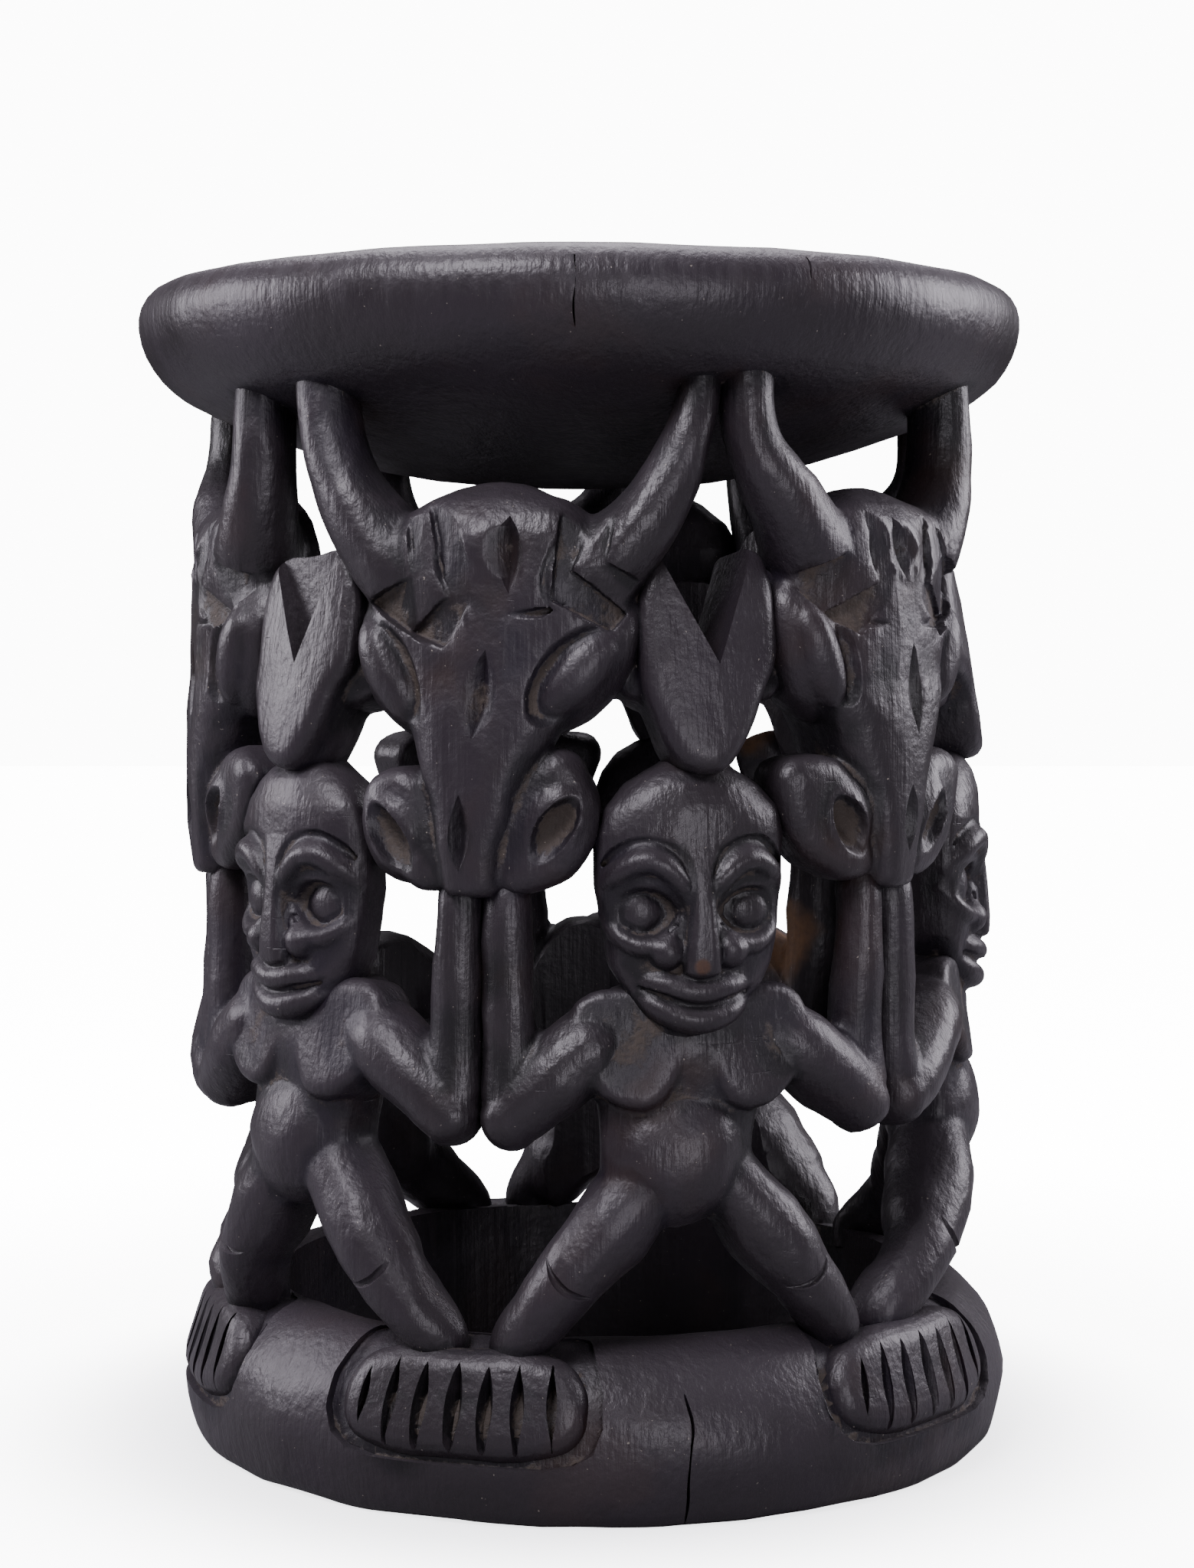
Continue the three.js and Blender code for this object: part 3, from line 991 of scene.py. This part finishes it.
class Reading:
    """What a node gives out; arithmetic on it adds Math nodes."""

    def __init__(self, maker, socket):
        self.maker = maker
        self.socket = socket

    def maths(self, operation, first, second):
        return self.maker.node("ShaderNodeMath", {"operation": operation}, {0: first, 1: second})

    def __add__(self, other):
        return self.maths("ADD", self, other)

    def __radd__(self, other):
        return self.maths("ADD", other, self)

    def __sub__(self, other):
        return self.maths("SUBTRACT", self, other)

    def __rsub__(self, other):
        return self.maths("SUBTRACT", other, self)

    def __mul__(self, other):
        return self.maths("MULTIPLY", self, other)

    def __rmul__(self, other):
        return self.maths("MULTIPLY", other, self)


class Maker:
    """Lays out one material's nodes."""

    def __init__(self, name):
        self.material = bpy.data.materials.new(name)
        self.material.use_nodes = True
        self.tree = self.material.node_tree
        self.shader = self.tree.nodes["Principled BSDF"]

    def fill(self, node, values):
        for socket, value in values.items():
            if isinstance(value, Reading):
                self.tree.links.new(value.socket, node.inputs[socket])
            else:
                node.inputs[socket].default_value = value

    def node(self, kind, settings=None, values=None, output=0):
        made = self.tree.nodes.new(kind)
        for name, setting in (settings or {}).items():
            setattr(made, name, setting)
        self.fill(made, values or {})
        return Reading(self, made.outputs[output])

    def noise(self, place, scale, detail, roughness=0.55):
        return self.node("ShaderNodeTexNoise", {}, {
            "Vector": place, "Scale": scale, "Detail": detail, "Roughness": roughness,
        })

    def stretched(self, place, amounts):
        return self.node("ShaderNodeVectorMath", {"operation": "MULTIPLY"}, {0: place, 1: amounts})

    def ease(self, value, low, high):
        """0 below low, 1 above high and a soft step between."""
        return self.node("ShaderNodeMapRange", {"interpolation_type": "SMOOTHSTEP"}, {
            "Value": value, "From Min": low, "From Max": high,
        })

    def blend(self, share, first, second):
        return self.node(
            "ShaderNodeMix", {"data_type": "RGBA"}, {0: share, 6: first, 7: second}, output=2
        )


BLACK = (0.006, 0.005, 0.0062, 1)
VIOLET = (0.0125, 0.0088, 0.0155, 1)
RED_BROWN = (0.027, 0.0125, 0.009, 1)
WORN = (0.034, 0.027, 0.032, 1)
# Grey for the painted sheen on upward faces and for worn, scratched wood
SHEEN_AND_WEAR_GREY = (0.046, 0.04, 0.046, 1)
DUST = (0.075, 0.058, 0.045, 1)
PALE = (0.42, 0.38, 0.32, 1)
RAW = (0.16, 0.082, 0.036, 1)
RUBBED = (0.075, 0.036, 0.02, 1)
# Where the stain has come off: the middle (mm), how far it reaches, and the bare wood's colour
BARE_PATCHES = [
    ((72, 104, 277), 17, RAW),
    ((88, 92, 184), 19, RAW),
    ((43.5, -154.5, 199), 3.4, RUBBED),
    ((-156, -22, 292), 3, RUBBED),
]


def dark_wood():
    """Near-black stain rubbed to a soft gloss over carved wood, dusty in its creases."""
    maker = Maker("dark_stained_wood")
    place = maker.node("ShaderNodeTexCoord", output=3)
    height = maker.node("ShaderNodeSeparateXYZ", {}, {0: place}, output=2)
    upward = maker.node(
        "ShaderNodeSeparateXYZ", {}, {0: maker.node("ShaderNodeNewGeometry", output=1)}, output=2
    )
    crevice = maker.node("ShaderNodeAttribute", {"attribute_name": "crevice"}, output=2)
    hollow = maker.node("ShaderNodeAttribute", {"attribute_name": "hollow"}, output=2)

    mottle = maker.noise(place, 14, 4)
    cloud = maker.noise(place, 33, 3)
    grit = maker.noise(place, 420, 2)
    fibre = maker.noise(maker.stretched(place, (420, 420, 22)), 1, 3, 0.6)
    streak = maker.noise(maker.stretched(place, (150, 150, 9)), 1, 4, 0.6)
    dents = maker.noise(place, 75, 2)
    scratch = maker.noise(maker.stretched(place, (60, 60, 900)), 1, 2, 0.4)

    ridge = maker.ease(0 - crevice + 0.25 * (cloud - 0.5), 0.16, 0.75)
    settled = crevice + 0.1 * (hollow - 0.2) + 0.9 * (grit - 0.5) + 1.1 * (cloud - 0.5)
    dust = maker.ease(settled, 0.6, 1.15)
    # Upward faces: a painted sheen where the light falls from above, mixed with settled dust
    top_sheen_and_dust = maker.ease(upward, 0.25, 0.95)
    rim = maker.ease(height, 0.424, 0.441)
    specks = maker.ease(maker.noise(place, 700, 1), 0.775, 0.8)
    scuffs = maker.ease(scratch, 0.73, 0.79) * maker.ease(cloud, 0.5, 0.62)

    colour = maker.blend(maker.ease(mottle, 0.36, 0.66), BLACK, VIOLET)
    colour = maker.blend(0.55 * maker.ease(maker.noise(place, 21, 3), 0.53, 0.7), colour, RED_BROWN)
    colour = maker.blend(0.5 * maker.ease(streak, 0.5, 0.75), colour, BLACK)
    colour = maker.blend(0.5 * ridge, colour, WORN)
    # Painted sheen and dust: grey laid over the upward faces
    colour = maker.blend(top_sheen_and_dust * (0.15 + 0.5 * cloud), colour, SHEEN_AND_WEAR_GREY)
    colour = maker.blend(rim * (0.1 + 0.5 * maker.ease(streak, 0.4, 0.7)), colour, SHEEN_AND_WEAR_GREY)
    colour = maker.blend(0.35 * scuffs, colour, SHEEN_AND_WEAR_GREY)
    colour = maker.blend(0.7 * dust, colour, DUST)
    colour = maker.blend(0.4 * specks, colour, PALE)
    bare = None
    for middle, reach, tint in BARE_PATCHES:
        spot = tuple(side * MM for side in middle)
        away = maker.node("ShaderNodeVectorMath", {"operation": "DISTANCE"}, {0: place, 1: spot}, 1)
        patch = 1 - maker.ease(away * (1 / (reach * MM)) + 1.6 * (cloud - 0.5), 0.6, 1.1)
        colour = maker.blend(patch * (0.55 + 0.6 * grit), colour, tint)
        bare = patch if bare is None else bare + patch

    roughness = (0.37 + 0.2 * mottle + 0.14 * (streak - 0.5) - 0.06 * ridge + 0.08 * top_sheen_and_dust
                 + 0.3 * dust + 0.3 * bare)
    relief = (0.6 * dents + 0.3 * fibre + 0.22 * grit + 0.35 * streak - 0.25 * scuffs
              + 0.3 * dust * grit)
    bump = maker.node("ShaderNodeBump", {}, {
        "Strength": 0.75, "Distance": 0.0014, "Height": relief,
    })
    maker.fill(maker.shader, {
        "Base Color": colour, "Roughness": roughness, "Normal": bump, "Specular IOR Level": 0.5,
    })
    return maker.material


stool.data.materials.clear()
stool.data.materials.append(dark_wood())

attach(stool, "root")
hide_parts("carved_stool")

# The floor, the light and the camera

WHITE = (1, 1, 1, 1)
PAPER = (0.86, 0.86, 0.87, 1)
DIM_PAPER = (0.22, 0.22, 0.23, 1)  # what the floor throws back onto the stool
# The floor glows for the camera; the glow is lower round and under the stool as a painted shadow
GLOW_IN_PAINTED_SHADOW = (2.6, 2.6, 2.7, 1)
GLOW_NEAR = (9, 9, 9, 1)
GLOW_FAR = (14, 14, 14, 1)
NO_GLOW = (0, 0, 0, 1)


def seen(nodes):
    """1 where the camera looks straight at something, 0 in its light and reflections."""
    return nodes.new("ShaderNodeLightPath").outputs["Is Camera Ray"]


bpy.ops.mesh.primitive_plane_add(size=12, location=(0, 0, 0))
floor = bpy.context.object
floor.name = "floor"
paper = Maker("pale_floor")
floor_place = paper.node("ShaderNodeTexCoord", output=3)
from_stool = paper.node("ShaderNodeVectorMath", {"operation": "LENGTH"}, {0: floor_place}, 1)
# Painted shadow: the floor's glow drops towards the stool's base
near_glow = paper.blend(paper.ease(from_stool, 0.15, 0.27), GLOW_IN_PAINTED_SHADOW, GLOW_NEAR)
glow = paper.blend(paper.ease(from_stool, 0.25, 0.65), near_glow, GLOW_FAR)
looked_at = Reading(paper, seen(paper.tree.nodes))
paper.fill(paper.shader, {
    "Base Color": paper.blend(looked_at, DIM_PAPER, PAPER),
    "Roughness": 0.8,
    "Emission Strength": 1.0,
    "Emission Color": paper.blend(looked_at, NO_GLOW, glow),
})
floor.data.materials.append(paper.material)

SKY_LIGHT = 0.035
SKY_SEEN = 12
world = bpy.data.worlds.new("white_studio")
world.use_nodes = True
sky = world.node_tree
plain = sky.nodes["Background"]
plain.inputs["Color"].default_value = WHITE
plain.inputs["Strength"].default_value = SKY_LIGHT
backdrop = sky.nodes.new("ShaderNodeBackground")
backdrop.inputs["Color"].default_value = WHITE
backdrop.inputs["Strength"].default_value = SKY_SEEN
either = sky.nodes.new("ShaderNodeMixShader")
sky.links.new(seen(sky.nodes), either.inputs[0])
sky.links.new(plain.outputs[0], either.inputs[1])
sky.links.new(backdrop.outputs[0], either.inputs[2])
sky.links.new(either.outputs[0], sky.nodes["World Output"].inputs[0])
bpy.context.scene.world = world


COOL = (0.96, 0.91, 1)


def lamp(place, aim, power, size):
    bpy.ops.object.light_add(type="AREA", location=place)
    soft = bpy.context.object
    soft.data.energy = power
    soft.data.size = size
    soft.data.color = COOL
    soft.rotation_euler = (Vector(aim) - Vector(place)).to_track_quat("-Z", "Y").to_euler()


# Metres and watts: over the left shoulder, low in front, from the right, the left and behind
lamp((-0.6, -1.0, 1.45), (0, 0, 0.25), 27, 0.6)
lamp((0.45, -1.3, 0.35), (0, 0, 0.12), 5, 0.4)
lamp((1.3, 0.3, 0.8), (0, 0, 0.25), 22, 0.8)
lamp((-1.35, 0.1, 0.7), (0, 0, 0.25), 16, 0.7)
lamp((0.0, 0.5, 1.5), (0, 0, 0.4), 22, 1.0)

CAMERA_DISTANCE = 1183
CAMERA_HEIGHT = 314
LOOKING_DOWN = 2.85
FOCAL_LENGTH = 67.83
FOCAL_PIXELS = 3859  # the same length in the photo's pixels
ASIDE_PIXELS = 12.5  # from the wall's axis to the middle of the photo
camera_along = WALL_LEAN + ASIDE_PIXELS / FOCAL_PIXELS * CAMERA_DISTANCE
bpy.ops.object.camera_add(
    location=Vector((camera_along, -CAMERA_DISTANCE, CAMERA_HEIGHT)) * MM,
    rotation=(math.radians(90 - LOOKING_DOWN), 0, 0),
)
camera = bpy.context.object
camera.data.lens = FOCAL_LENGTH
bpy.context.scene.camera = camera
